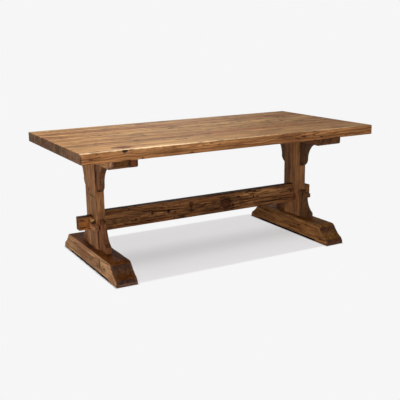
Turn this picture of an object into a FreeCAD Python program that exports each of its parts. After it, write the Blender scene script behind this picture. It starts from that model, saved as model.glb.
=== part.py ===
# Trestle dining table: a plank top on two trestles, joined by a wedged stretcher.
# Frame: X along the table, Y from front to back, +Z up, origin on the floor under the centre.
import FreeCAD, Part
import math
import os
import Sketcher

doc = FreeCAD.newDocument("TrestleTable")

# Driving sizes in millimetres (wedgeSlope is a ratio). Each is a cell of the sheet with its alias.
driving = {
    # Top
    "tableHigh": 760,
    "topLong": 1920,
    "topThick": 58,
    "boardWideA": 196,
    "boardWideB": 110,
    "boardWideC": 121,
    "boardWideD": 126,
    "boardWideE": 152,
    "boardWideF": 130,
    "boardWideG": 130,
    "topRound": 4,
    "topTongueThick": 12,
    "topTongueWide": 30,
    "topTongueInset": 45,
    # Posts
    "endOverhang": 238,
    "postThick": 52,
    "postWide": 170,
    "postRound": 2,
    "postTenonThick": 24,
    "postTenonWide": 120,
    "footTenonDeep": 60,
    "bearerTenonDeep": 38,
    "mortiseEndGap": 2,
    # Feet
    "footLong": 888,
    "footWide": 130,
    "footHigh": 112,
    "footEase": 2.5,
    "footTopSetback": 112,
    "shoulderSetback": 82,
    "shoulderDrop": 15,
    "shoulderRound": 38,
    "throatSetback": 30,
    "throatHigh": 46,
    "throatHollow": 170,
    "noseHigh": 12,
    "noseRound": 46,
    "padLong": 118,
    "padHigh": 10,
    # Bearers under the top
    "bearerLong": 826,
    "bearerThick": 58,
    "bearerNoseSetback": 26,
    "bearerNoseHigh": 44,
    "bearerClip": 17,
    "bearerOutside": 58,
    "bearerInside": 112,
    "bearerSeamLeft": 57,
    "bearerSeamRight": 33,
    "bearerEase": 2,
    # Braces between post and bearer, and between post and foot
    "braceThick": 38,
    "braceEase": 1.5,
    "upperBraceHigh": 184,
    "upperBraceReach": 115,
    "upperBraceLip": 27,
    "upperBraceWaist": 43,
    "upperBraceWaistHigh": 52,
    "lowerBraceHigh": 185,
    "lowerBraceReach": 104,
    "lowerBraceLip": 40,
    "lowerBraceWaist": 47,
    "lowerBraceWaistDrop": 52,
    # Loose tongues in the braces
    "tongueThick": 12,
    "tongueDeep": 25,
    "postTongueLong": 60,
    "endTongueLong": 40,
    "upperTongueDrop": 60,
    "upperTongueOut": 65,
    "lowerTongueRise": 65,
    "lowerTongueOut": 50,
    # Stretcher
    "stretcherThick": 46,
    "stretcherHigh": 122,
    "stretcherLow": 206,
    "stretcherRound": 2,
    "tenonShoulder": 22,
    "tenonOut": 90,
    "tenonEase": 2,
    "slipGap": 0.3,
    # Folding wedges
    "wedgeThick": 27,
    "wedgeWall": 11,
    "wedgeSlope": 0.1,
    "wedgeSplit": 38.5,
    "lowerWedgeFront": 115,
    "lowerWedgeBack": 70,
    "upperWedgeFront": 65,
    "upperWedgeBack": 56,
    "wedgeEase": 1.5,
    "drawGap": 3,
    # Screws from the bearers into the top
    "screwRadius": 5,
    "screwBite": 38,
    "screwHeadRadius": 9.8,
    "screwHeadHigh": 7,
    "boreRadius": 14,
    "boreDeep": 14,
}

sheet = doc.addObject("Spreadsheet::Sheet", "Sizes")
for row, (alias, number) in enumerate(driving.items(), start=1):
    sheet.set("A%d" % row, alias)
    sheet.set("B%d" % row, str(number))
    sheet.setAlias("B%d" % row, alias)
doc.recompute()


# A size and the sheet expression that gives it, worked out side by side.
class Size:
    def __init__(self, value, text):
        self.value = float(value)
        self.text = text

    def __add__(self, other):
        other = asSize(other)
        return Size(self.value + other.value, "(%s + %s)" % (self.text, other.text))

    def __sub__(self, other):
        other = asSize(other)
        return Size(self.value - other.value, "(%s - %s)" % (self.text, other.text))

    def __mul__(self, other):
        other = asSize(other)
        return Size(self.value * other.value, "(%s * %s)" % (self.text, other.text))

    def __truediv__(self, other):
        other = asSize(other)
        return Size(self.value / other.value, "(%s / %s)" % (self.text, other.text))

    def __neg__(self):
        return self * -1


def asSize(number):
    return number if isinstance(number, Size) else Size(number, repr(float(number)))


def cell(alias):
    return Size(sheet.get(alias), "Sizes." + alias)


zero = asSize(0)
sides = {"left": -1, "right": 1}
ends = {"front": -1, "back": 1}

# Levels and faces that several pieces share.
topUnderside = cell("tableHigh") - cell("topThick")
bearerUnderside = topUnderside - cell("bearerThick")
footTop = cell("footHigh")
trestleAt = cell("topLong") / 2 - cell("endOverhang")
postHalfWide = cell("postWide") / 2
postHalfThick = cell("postThick") / 2
tenonLow = cell("stretcherLow") + cell("tenonShoulder")
tenonHigh = cell("stretcherLow") + cell("stretcherHigh") - cell("tenonShoulder")
postOuterFace = trestleAt + postHalfThick
wedgeLow = tenonLow + cell("wedgeWall")
wedgeHigh = tenonHigh - cell("wedgeWall")

# Front and back edge of each top board.
boards = []
topWide = zero
for letter in "ABCDEFG":
    topWide = topWide + cell("boardWide" + letter)
seam = topWide / -2
for letter in "ABCDEFG":
    boards.append((seam, seam + cell("boardWide" + letter)))
    seam = seam + cell("boardWide" + letter)


def bind(thing, path, length):
    thing.setExpression(path, length.text)


def place(thing, across=zero, along=zero, up=zero, turn=FreeCAD.Rotation()):
    thing.Placement = FreeCAD.Placement(FreeCAD.Vector(across.value, along.value, up.value), turn)
    for letter, length in (("x", across), ("y", along), ("z", up)):
        if length is not zero:
            bind(thing, "Placement.Base." + letter, length)


# Where a piece that fills the stretch from near to far, measured out from the middle, begins.
def beginsAt(side, near, far):
    return near if side > 0 else -far


# --- Sketches -----------------------------------------------------------------------------------
def addSketch(body, name, role, offset=zero):
    sketch = body.newObject("Sketcher::SketchObject", name)
    plane = [item for item in body.Origin.OriginFeatures if item.Role == role][0]
    sketch.AttachmentSupport = [(plane, "")]
    sketch.MapMode = "FlatFace"
    if offset is not zero:
        sketch.AttachmentOffset.Base.z = offset.value
        bind(sketch, "AttachmentOffset.Base.z", offset)
    return sketch


def dimension(sketch, kind, length, *where):
    index = sketch.addConstraint(Sketcher.Constraint(kind, *where, length.value))
    bind(sketch, "Constraints[%d]" % index, length)


# Holds a corner at its place. A corner at zero lies on the sketch's own axis.
def pin(sketch, corner, across, up):
    for kind, length, axis in (("DistanceX", across, -2), ("DistanceY", up, -1)):
        if length is zero:
            sketch.addConstraint(Sketcher.Constraint("PointOnObject", *corner, axis))
        else:
            dimension(sketch, kind, length, -1, 1, *corner)


def arcBetween(start, finish, radius, rounds):
    chord = finish - start
    rise = math.sqrt(radius ** 2 - (chord.Length / 2) ** 2)
    inward = FreeCAD.Vector(-chord.y, chord.x, 0).normalize() * (rise if rounds else -rise)
    centre = (start + finish) / 2 + inward
    first, last = (start, finish) if rounds else (finish, start)
    fromAngle = math.atan2(first.y - centre.y, first.x - centre.x)
    toAngle = math.atan2(last.y - centre.y, last.x - centre.x)
    return Part.ArcOfCircle(Part.Circle(centre, FreeCAD.Vector(0, 0, 1), radius), fromAngle, toAngle)


# The radius of an arc that covers a run and a rise and is upright at one end.
def uprightRadius(run, rise):
    return (run * run + rise * rise) / (run * 2)


# Draws a closed outline anticlockwise. A corner is (across, up) before a straight edge,
# (across, up, radius, True) before a rounded one and (across, up, radius, False) before a hollow.
def drawOutline(sketch, corners):
    points = [FreeCAD.Vector(corner[0].value, corner[1].value, 0) for corner in corners]
    starts = []
    finishes = []
    for index, corner in enumerate(corners):
        start = points[index]
        finish = points[(index + 1) % len(points)]
        turned = False
        if len(corner) == 2:
            edge = sketch.addGeometry(Part.LineSegment(start, finish))
        else:
            edge = sketch.addGeometry(arcBetween(start, finish, corner[2].value, corner[3]))
            dimension(sketch, "Radius", corner[2], edge)
            turned = not corner[3]
        starts.append((edge, 2 if turned else 1))
        finishes.append((edge, 1 if turned else 2))
    for index, corner in enumerate(corners):
        sketch.addConstraint(Sketcher.Constraint("Coincident", *finishes[index - 1], *starts[index]))
        pin(sketch, starts[index], corner[0], corner[1])


# Adds the mirror image to a right half whose corners run upwards.
def bothHalves(right):
    left = []
    for index in reversed(range(len(right))):
        edge = right[index - 1][2:] if index else ()
        left.append((-right[index][0], right[index][1]) + edge)
    return right + left


def rectangle(left, right, bottom, top):
    return [(left, bottom), (right, bottom), (right, top), (left, top)]


# --- Features -----------------------------------------------------------------------------------
def addBody(label):
    body = doc.addObject("PartDesign::Body", label)
    body.Label = label
    return body


def addFeature(body, kind, sketch, length, symmetric=False, reverse=False):
    feature = body.newObject("PartDesign::" + kind, sketch.Name + kind)
    feature.Profile = sketch
    feature.SideType = "Symmetric" if symmetric else "One side"
    feature.Reversed = reverse
    bind(feature, "Length", length)
    doc.recompute()


def addPad(body, sketch, length, symmetric=False):
    addFeature(body, "Pad", sketch, length, symmetric)


def addPocket(body, sketch, length, symmetric=False, reverse=False):
    before = body.Shape.Volume
    addFeature(body, "Pocket", sketch, length, symmetric, reverse)
    if body.Shape.Volume >= before - 1:
        raise RuntimeError(sketch.Name + " cuts nothing")


def near(one, other):
    return abs(one - other) < 0.01


# Whether an edge lies in a plane across the given axis (0, 1 or 2) at one of the places.
def liesAt(edge, axis, *places):
    for spot in places:
        if all(near(vertex.Point[axis], spot.value) for vertex in edge.Vertexes):
            return True
    return False


# Rounds ("Fillet") or bevels ("Chamfer") the edges of the body that pass the test.
def easeEdges(body, kind, amount, test):
    base = body.Tip
    names = ["Edge%d" % number for number, edge in enumerate(base.Shape.Edges, start=1) if test(edge)]
    feature = body.newObject("PartDesign::" + kind, "%s_%s" % (body.Name, kind.lower()))
    feature.Base = (base, names)
    bind(feature, "Radius" if kind == "Fillet" else "Size", amount)
    doc.recompute()


def addGroup(kind, label, members):
    group = doc.addObject("Part::" + kind, label)
    group.Label = label
    if kind == "Compound":
        group.Links = members
    else:
        group.Shapes = members
    return group


# Drills or grooves a blank with the very pieces that sit in it, so that each seat fits.
def seat(label, blank, pieces):
    cut = doc.addObject("Part::Cut", label)
    cut.Label = label
    cut.Base = blank
    cut.Tool = pieces
    return cut


parts = []


# A loose tongue, half in the one piece and half in the other, by its middle and its extent.
def makeTongue(name, middle, extent):
    tongue = doc.addObject("Part::Box", name)
    for side, length in zip(("Length", "Width", "Height"), extent):
        bind(tongue, side, length)
    across, along, up = (centre - length / 2 for centre, length in zip(middle, extent))
    place(tongue, across, along, up)
    return tongue


# --- Top ----------------------------------------------------------------------------------------
def makeTopTongues():
    tongues = []
    extent = (cell("topLong") - cell("topTongueInset") * 2, cell("topTongueWide"), cell("topTongueThick"))
    for number, (front, back) in enumerate(boards[:-1], start=1):
        middle = (zero, back, topUnderside + cell("topThick") / 2)
        tongues.append(makeTongue("top_tongue_%d" % number, middle, extent))
    return addGroup("Compound", "top_tongues", tongues)


def makeTopBoard(number, front, back, seated):
    blank = addBody("top_board_%d_blank" % number)
    half = cell("topLong") / 2
    section = addSketch(blank, "top_section_%d" % number, "YZ_Plane")
    drawOutline(section, rectangle(front, back, topUnderside, cell("tableHigh")))
    addPad(blank, section, cell("topLong"), symmetric=True)

    # Only where two outer faces of the whole top meet; the edges along the seams stay sharp.
    def onRim(edge):
        faces = liesAt(edge, 0, half, -half) + liesAt(edge, 2, topUnderside, cell("tableHigh"))
        return faces + liesAt(edge, 1, topWide / 2, topWide / -2) == 2

    easeEdges(blank, "Fillet", cell("topRound"), onRim)
    return seat("top_board_%d" % number, blank, seated)


# --- Posts --------------------------------------------------------------------------------------
def postTenonPlan(centre=zero):
    half = cell("postTenonThick") / 2
    wide = cell("postTenonWide") / 2
    return rectangle(centre - half, centre + half, -wide, wide)


def makePost(name, side, tongues):
    blank = addBody("post_%s_blank" % name)
    shaft = addSketch(blank, "post_shaft_" + name, "XY_Plane", footTop)
    drawOutline(shaft, rectangle(-postHalfThick, postHalfThick, -postHalfWide, postHalfWide))
    addPad(blank, shaft, bearerUnderside - footTop)

    def upright(edge):
        return liesAt(edge, 0, postHalfThick, -postHalfThick) and liesAt(edge, 1, postHalfWide, -postHalfWide)

    easeEdges(blank, "Fillet", cell("postRound"), upright)
    tenons = addSketch(blank, "post_tenons_" + name, "XY_Plane", footTop - cell("footTenonDeep"))
    drawOutline(tenons, postTenonPlan())
    addPad(blank, tenons, bearerUnderside - footTop + cell("footTenonDeep") + cell("bearerTenonDeep"))

    mortise = addSketch(blank, "post_mortise_" + name, "YZ_Plane")
    half = cell("stretcherThick") / 2 + cell("slipGap")
    drawOutline(mortise, rectangle(-half, half, tenonLow, tenonHigh + cell("slipGap")))
    addPocket(blank, mortise, cell("postThick") + 2, symmetric=True)
    place(blank, across=trestleAt * side)
    return seat("post_" + name, blank, tongues)


# --- Feet ---------------------------------------------------------------------------------------
def makeFoot(name, side, tongues):
    blank = addBody("foot_%s_blank" % name)
    tip = cell("footLong") / 2
    padEnd = tip - cell("padLong")
    profile = addSketch(blank, "foot_profile_" + name, "YZ_Plane")
    drawOutline(profile, bothHalves([
        (padEnd - cell("padHigh"), cell("padHigh")),
        (padEnd, zero),
        (tip, zero),
        (tip, cell("noseHigh"), cell("noseRound"), True),
        (tip - cell("throatSetback"), cell("throatHigh"), cell("throatHollow"), False),
        (tip - cell("shoulderSetback"), footTop - cell("shoulderDrop"), cell("shoulderRound"), True),
        (tip - cell("footTopSetback"), footTop),
    ]))
    addPad(blank, profile, cell("footWide"), symmetric=True)
    half = cell("footWide") / 2
    easeEdges(blank, "Chamfer", cell("footEase"), lambda edge: liesAt(edge, 0, half, -half))

    mortise = addSketch(blank, "foot_mortise_" + name, "XY_Plane", footTop)
    drawOutline(mortise, postTenonPlan())
    addPocket(blank, mortise, cell("footTenonDeep") + cell("mortiseEndGap"))
    place(blank, across=trestleAt * side)
    return seat("foot_" + name, blank, tongues)


# --- Bearers ------------------------------------------------------------------------------------
# A bearer plank fills the stretch from near to far, measured out from the middle of the table.
def makeBearer(label, side, near, far, seated, mortised):
    blank = addBody(label + "_blank")
    tip = cell("bearerLong") / 2
    noseRadius = uprightRadius(cell("bearerNoseSetback"), cell("bearerNoseHigh"))
    profile = addSketch(blank, label + "_profile", "YZ_Plane")
    drawOutline(profile, bothHalves([
        (tip - cell("bearerNoseSetback"), bearerUnderside, noseRadius, True),
        (tip, bearerUnderside + cell("bearerNoseHigh")),
        (tip, topUnderside),
    ]))
    addPad(blank, profile, far - near)
    # The free side is the one away from the seam between the two planks.
    free, clipped = zero, cell("bearerClip")
    if mortised == (side > 0):
        free, clipped = far - near, far - near - clipped

    def exposed(edge):
        return liesAt(edge, 0, free) and not liesAt(edge, 2, topUnderside)

    easeEdges(blank, "Chamfer", cell("bearerEase"), exposed)
    # Both ends are clipped at their free corner.
    clips = addSketch(blank, label + "_clips", "XY_Plane", bearerUnderside)
    for end in ends.values():
        drawOutline(clips, [(free, tip * end), (clipped, tip * end), (free, (tip - cell("bearerClip")) * end)])
    addPocket(blank, clips, cell("bearerThick"), reverse=True)
    if mortised:
        mortise = addSketch(blank, label + "_mortise", "XY_Plane", bearerUnderside)
        drawOutline(mortise, postTenonPlan(trestleAt * side - beginsAt(side, near, far)))
        addPocket(blank, mortise, cell("bearerTenonDeep") + cell("mortiseEndGap"), reverse=True)
    place(blank, across=beginsAt(side, near, far))
    return seat(label, blank, seated)


# --- Braces -------------------------------------------------------------------------------------
def makeBrace(label, side, end, corners, level, tongues):
    blank = addBody(label + "_blank")
    profile = addSketch(blank, label + "_profile", "YZ_Plane")
    drawOutline(profile, corners)
    addPad(blank, profile, cell("braceThick"), symmetric=True)
    half = cell("braceThick") / 2

    # The edges against the post and against the bearer or foot stay sharp.
    def exposed(edge):
        joined = liesAt(edge, 1, postHalfWide) or liesAt(edge, 2, level)
        return liesAt(edge, 0, half, -half) and not joined

    easeEdges(blank, "Chamfer", cell("braceEase"), exposed)
    turn = FreeCAD.Rotation(FreeCAD.Vector(0, 0, 1), 0 if end > 0 else 180)
    place(blank, across=trestleAt * side, turn=turn)
    return seat(label, blank, tongues)


# A round toe and a hollow that meet upright at the waist, then a square lip under the bearer.
def upperBraceCorners():
    toe = bearerUnderside - cell("upperBraceHigh")
    waist = toe + cell("upperBraceWaistHigh")
    lip = bearerUnderside - cell("upperBraceLip")
    reach = postHalfWide + cell("upperBraceReach")
    toeRadius = uprightRadius(cell("upperBraceWaist"), cell("upperBraceWaistHigh"))
    hollowRadius = uprightRadius(cell("upperBraceReach") - cell("upperBraceWaist"), lip - waist)
    return [
        (postHalfWide, toe, toeRadius, True),
        (postHalfWide + cell("upperBraceWaist"), waist, hollowRadius, False),
        (reach, lip),
        (reach, bearerUnderside),
        (postHalfWide, bearerUnderside),
    ]


# The same outline the other way up, with its square lip on the foot.
def lowerBraceCorners():
    head = footTop + cell("lowerBraceHigh")
    waist = head - cell("lowerBraceWaistDrop")
    lip = footTop + cell("lowerBraceLip")
    reach = postHalfWide + cell("lowerBraceReach")
    hollowRadius = uprightRadius(cell("lowerBraceReach") - cell("lowerBraceWaist"), waist - lip)
    headRadius = uprightRadius(cell("lowerBraceWaist"), cell("lowerBraceWaistDrop"))
    return [
        (postHalfWide, footTop),
        (reach, footTop),
        (reach, lip, hollowRadius, False),
        (postHalfWide + cell("lowerBraceWaist"), waist, headRadius, True),
        (postHalfWide, head),
    ]


# --- Tongues in the braces ----------------------------------------------------------------------
# Each brace has one tongue across its joint with the post and one across its bearer or foot.
def makeBraceTongues(name, side):
    tongues = []
    across = trestleAt * side
    deep = cell("tongueDeep") * 2
    flat = (cell("tongueThick"), deep, cell("postTongueLong"))
    upright = (cell("tongueThick"), cell("endTongueLong"), deep)
    for endName, end in ends.items():
        label = "tongue_%s_%s_" % (name, endName)
        face = postHalfWide * end
        upperOut = (postHalfWide + cell("upperTongueOut")) * end
        lowerOut = (postHalfWide + cell("lowerTongueOut")) * end
        upperLevel = bearerUnderside - cell("upperTongueDrop")
        lowerLevel = footTop + cell("lowerTongueRise")
        tongues.append(makeTongue(label + "upper", (across, face, upperLevel), flat))
        tongues.append(makeTongue(label + "bearer", (across, upperOut, bearerUnderside), upright))
        tongues.append(makeTongue(label + "lower", (across, face, lowerLevel), flat))
        tongues.append(makeTongue(label + "foot", (across, lowerOut, footTop), upright))
    return addGroup("Compound", "brace_tongues_" + name, tongues)


# --- Screws -------------------------------------------------------------------------------------
# The head sits at the end of a counterbore in the bearer; the screw stops inside the top.
def makeScrew(name, across, along):
    seatLevel = bearerUnderside + cell("boreDeep")
    long = topUnderside + cell("screwBite") - seatLevel
    shank = doc.addObject("Part::Cylinder", name + "_shank")
    bind(shank, "Radius", cell("screwRadius"))
    bind(shank, "Height", long)
    place(shank, across, along, seatLevel)
    head = doc.addObject("Part::Prism", name + "_head")
    head.Polygon = 6
    bind(head, "Circumradius", cell("screwHeadRadius"))
    bind(head, "Height", cell("screwHeadHigh"))
    place(head, across, along, seatLevel - cell("screwHeadHigh"))
    bore = doc.addObject("Part::Cylinder", name + "_bore")
    bind(bore, "Radius", cell("boreRadius"))
    bind(bore, "Height", cell("boreDeep") + 1)
    place(bore, across, along, bearerUnderside - 1)
    return addGroup("MultiFuse", name, [shank, head]), addGroup("MultiFuse", name + "_hole", [shank, bore])


# Two screws go up through the outer plank of the bearer and two through the inner one.
def makeScrews(name, side, seam):
    outer = (trestleAt + (cell("bearerOutside") - seam) / 2) * side
    inner = (trestleAt - (cell("bearerInside") + seam) / 2) * side
    spots = [(outer, 1), (outer, 5), (inner, 2), (inner, 4)]
    screws = []
    holes = []
    for number, (across, board) in enumerate(spots, start=1):
        middle = (boards[board][0] + boards[board][1]) / 2
        screw, hole = makeScrew("screw_%s_%d" % (name, number), across, middle)
        screws.append(screw)
        holes.append(hole)
    return addGroup("Compound", "bearer_screws_" + name, screws), holes


# --- Stretcher and wedges -----------------------------------------------------------------------
def makeStretcher():
    body = addBody("stretcher")
    shoulder = trestleAt - postHalfThick
    tenonEnd = postOuterFace + cell("tenonOut")
    low = cell("stretcherLow")
    high = low + cell("stretcherHigh")
    profile = addSketch(body, "stretcher_profile", "XZ_Plane")
    drawOutline(profile, bothHalves([
        (shoulder, low),
        (shoulder, tenonLow),
        (tenonEnd, tenonLow),
        (tenonEnd, tenonHigh),
        (shoulder, tenonHigh),
        (shoulder, high),
    ]))
    addPad(body, profile, cell("stretcherThick"), symmetric=True)
    easeEdges(body, "Fillet", cell("stretcherRound"), lambda edge: liesAt(edge, 2, low, high)
              and not liesAt(edge, 0, shoulder, -shoulder))
    easeEdges(body, "Chamfer", cell("tenonEase"), lambda edge: liesAt(edge, 0, tenonEnd, -tenonEnd))
    for name, side in sides.items():
        mortise = addSketch(body, "wedge_mortise_" + name, "XZ_Plane")
        inner = postOuterFace - cell("drawGap")
        outer = postOuterFace + cell("wedgeThick")
        start = beginsAt(side, inner, outer)
        drawOutline(mortise, rectangle(start, start + outer - inner, wedgeLow, wedgeHigh))
        addPocket(body, mortise, cell("stretcherThick") + 2, symmetric=True)
    return body


# A wedge from the front to the back of the tenon, between two levels at its front and two behind.
def makeWedge(label, side, front, back, levels):
    body = addBody(label)
    profile = addSketch(body, label + "_profile", "YZ_Plane")
    frontLow, frontHigh, backLow, backHigh = levels
    drawOutline(profile, [(-front, frontLow), (back, backLow), (back, backHigh), (-front, frontHigh)])
    addPad(body, profile, cell("wedgeThick"))
    easeEdges(body, "Chamfer", cell("wedgeEase"), lambda edge: liesAt(edge, 1, -front, back))
    place(body, across=beginsAt(side, postOuterFace, postOuterFace + cell("wedgeThick")))
    return body


def splitLevel(along):
    return wedgeLow + cell("wedgeSplit") + along * cell("wedgeSlope")


def makeLowerWedge(name, side):
    front = cell("lowerWedgeFront")
    back = cell("lowerWedgeBack")
    levels = (wedgeLow, splitLevel(-front), wedgeLow, splitLevel(back))
    return makeWedge("wedge_lower_" + name, side, front, back, levels)


def makeUpperWedge(name, side):
    front = cell("upperWedgeFront")
    back = cell("upperWedgeBack")
    levels = (splitLevel(-front), wedgeHigh, splitLevel(back), wedgeHigh)
    return makeWedge("wedge_upper_" + name, side, front, back, levels)


# --- Assembly -----------------------------------------------------------------------------------
topTongues = makeTopTongues()
parts.append(topTongues)
holesInTop = []
for name, side in sides.items():
    seam = cell("bearerSeamLeft" if name == "left" else "bearerSeamRight")
    outermost = trestleAt + cell("bearerOutside")
    innermost = trestleAt - cell("bearerInside")
    joint = trestleAt - seam
    tongues = makeBraceTongues(name, side)
    screws, holes = makeScrews(name, side, seam)
    holesInTop = holesInTop + holes
    outerSeats = addGroup("Compound", "outer_seats_" + name, [tongues] + holes[:2])
    innerSeats = addGroup("Compound", "inner_seats_" + name, holes[2:])
    parts.append(tongues)
    parts.append(screws)
    parts.append(makeFoot(name, side, tongues))
    parts.append(makePost(name, side, tongues))
    parts.append(makeBearer("bearer_outer_" + name, side, joint, outermost, outerSeats, True))
    parts.append(makeBearer("bearer_inner_" + name, side, innermost, joint, innerSeats, False))
    for endName, end in ends.items():
        corner = "%s_%s" % (name, endName)
        parts.append(makeBrace("upper_brace_" + corner, side, end, upperBraceCorners(),
                               bearerUnderside, tongues))
        parts.append(makeBrace("lower_brace_" + corner, side, end, lowerBraceCorners(),
                               footTop, tongues))
    parts.append(makeLowerWedge(name, side))
    parts.append(makeUpperWedge(name, side))
parts.append(makeStretcher())
topSeats = addGroup("Compound", "top_seats", [topTongues] + holesInTop)
for number, (front, back) in enumerate(boards, start=1):
    parts.append(makeTopBoard(number, front, back, topSeats))

doc.recompute()
for thing in doc.Objects:
    if "Invalid" in thing.State or "Error" in thing.State:
        raise RuntimeError("%s did not build" % thing.Label)
for part in parts:
    if part.Shape.isNull() or not part.Shape.isValid():
        raise RuntimeError("%s has no valid shape" % part.Label)

os.makedirs("parts", exist_ok=True)
for part in parts:
    part.Shape.exportStep("parts/%s.step" % part.Label)
print("wrote %d parts" % len(parts))
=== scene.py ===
# Looks of the trestle dining table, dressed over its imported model. Metres, +Z up, front towards -Y.
import math
import random

import bmesh
import bpy
from mathutils import Matrix, Vector, noise


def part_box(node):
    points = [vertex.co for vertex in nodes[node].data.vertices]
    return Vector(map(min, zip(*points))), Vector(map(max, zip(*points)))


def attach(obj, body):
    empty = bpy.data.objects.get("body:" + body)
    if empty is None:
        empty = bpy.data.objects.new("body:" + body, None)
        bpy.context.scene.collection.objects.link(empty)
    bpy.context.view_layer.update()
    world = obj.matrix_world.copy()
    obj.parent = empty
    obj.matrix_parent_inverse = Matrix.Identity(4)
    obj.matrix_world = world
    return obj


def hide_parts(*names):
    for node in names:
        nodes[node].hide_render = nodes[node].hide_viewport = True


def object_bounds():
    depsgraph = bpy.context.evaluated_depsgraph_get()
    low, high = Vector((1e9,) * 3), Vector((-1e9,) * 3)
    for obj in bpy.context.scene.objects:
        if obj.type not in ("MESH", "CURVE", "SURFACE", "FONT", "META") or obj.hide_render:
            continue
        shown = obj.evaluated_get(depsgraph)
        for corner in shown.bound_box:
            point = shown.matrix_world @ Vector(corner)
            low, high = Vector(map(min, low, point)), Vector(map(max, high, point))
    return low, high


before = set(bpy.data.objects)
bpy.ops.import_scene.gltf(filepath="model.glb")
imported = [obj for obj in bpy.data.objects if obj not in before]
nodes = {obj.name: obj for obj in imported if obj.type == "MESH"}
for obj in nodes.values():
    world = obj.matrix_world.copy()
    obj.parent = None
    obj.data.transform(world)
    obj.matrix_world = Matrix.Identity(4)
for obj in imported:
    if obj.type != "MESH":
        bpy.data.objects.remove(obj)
cadLow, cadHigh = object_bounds()
print("frame loaded:", len(nodes), "nodes")


# Small helpers for shader trees.
def addNode(tree, kind, **settings):
    node = tree.nodes.new(kind)
    node.location = (len(tree.nodes) * 190, -60 * (len(tree.nodes) % 5))
    for name, value in settings.items():
        setattr(node, name, value)
    return node


def feed(tree, socket, value):
    if isinstance(value, bpy.types.NodeSocket):
        tree.links.new(value, socket)
    elif socket.type == "RGBA" and len(value) == 3:
        socket.default_value = (*value, 1.0)
    else:
        socket.default_value = value


def maths(tree, operation, first, second=0.0, third=0.0):
    node = addNode(tree, "ShaderNodeMath", operation=operation)
    for socket, value in zip(node.inputs, (first, second, third)):
        feed(tree, socket, value)
    return node.outputs[0]


def times(tree, first, second):
    return maths(tree, "MULTIPLY", first, second)


def timesAdd(tree, first, second, added):
    return maths(tree, "MULTIPLY_ADD", first, second, added)


def minus(tree, first, second):
    return maths(tree, "SUBTRACT", first, second)


def inverted(tree, value):
    return maths(tree, "SUBTRACT", 1.0, value)


# Rises smoothly from 0 at low to 1 at high.
def step(tree, value, low, high):
    node = addNode(tree, "ShaderNodeMapRange", interpolation_type="SMOOTHSTEP")
    feed(tree, node.inputs["Value"], value)
    feed(tree, node.inputs["From Min"], low)
    feed(tree, node.inputs["From Max"], high)
    return node.outputs["Result"]


def vectorMaths(tree, operation, first, second=(0, 0, 0)):
    node = addNode(tree, "ShaderNodeVectorMath", operation=operation)
    feed(tree, node.inputs[0], first)
    feed(tree, node.inputs["Scale" if operation == "SCALE" else 1], second)
    return node.outputs["Value" if operation == "LENGTH" else "Vector"]


# Detail is drawn out along X where along is smaller than across.
def stretch(tree, spot, along, across):
    return vectorMaths(tree, "MULTIPLY", spot, (along, across, across))


def splitVector(tree, vector):
    node = addNode(tree, "ShaderNodeSeparateXYZ")
    feed(tree, node.inputs[0], vector)
    return node.outputs["X"], node.outputs["Y"], node.outputs["Z"]


def noiseOf(tree, vector, scale, detail=2.0, roughness=0.5):
    node = addNode(tree, "ShaderNodeTexNoise")
    feed(tree, node.inputs["Vector"], vector)
    feed(tree, node.inputs["Scale"], scale)
    feed(tree, node.inputs["Detail"], detail)
    feed(tree, node.inputs["Roughness"], roughness)
    return node.outputs


def blendColours(tree, factor, first, second, how="MIX"):
    node = addNode(tree, "ShaderNodeMix", data_type="RGBA", blend_type=how)
    feed(tree, node.inputs["Factor"], factor)
    feed(tree, node.inputs["A"], first)
    feed(tree, node.inputs["B"], second)
    return node.outputs["Result"]


def shade(tree, colour, amount):
    return blendColours(tree, 1.0, colour, amount, "MULTIPLY")


# Lays a second colour over the first where a mask shows, at a share of that mask.
def overlay(tree, first, second, mask, share):
    return blendColours(tree, times(tree, mask, share), first, second)


# First values for the sockets of groups. They also tell which kind of socket it is.
noVector = (0.0, 0.0, 0.0)
grey = (0.5, 0.5, 0.5, 1.0)
white = (1.0, 1.0, 1.0, 1.0)


# A group takes {label: first value} and gives labels, of which those that end in Color are colours.
def newGroup(name, takes, gives):
    group = bpy.data.node_groups.new(name, "ShaderNodeTree")
    for label, value in takes.items():
        kind = "Float" if isinstance(value, float) else "Vector" if len(value) == 3 else "Color"
        socket = group.interface.new_socket(label, in_out="INPUT", socket_type="NodeSocket" + kind)
        socket.default_value = value
    for label in gives:
        kind = "Color" if label.endswith("Color") else "Float"
        group.interface.new_socket(label, in_out="OUTPUT", socket_type="NodeSocket" + kind)
    return group, addNode(group, "NodeGroupInput").outputs, addNode(group, "NodeGroupOutput").inputs


# Each socket takes what is offered under its own name.
def useGroup(tree, group, offered):
    node = addNode(tree, "ShaderNodeGroup", node_tree=group)
    for socket in node.inputs:
        if socket.name in offered:
            feed(tree, socket, offered[socket.name])
    return node.outputs


# A look's values under the names of sockets, which start with a capital.
def asSockets(look):
    return {key[0].upper() + key[1:]: value for key, value in look.items()}


# The effects that materials share are node groups, each with the numbers of its shape above it.
ringShape = {
    "drift": (0.9, 4.0), "waves": (11.0, 8.0),  # scale of the noise along and across the grain
    "yearScale": 28.0, "yearSwing": 3.0,  # wide and narrow years
    "darkens": (0.2, 0.88), "ends": (0.9, 1.0),  # where in a ring the late wood comes and goes
}


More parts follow.
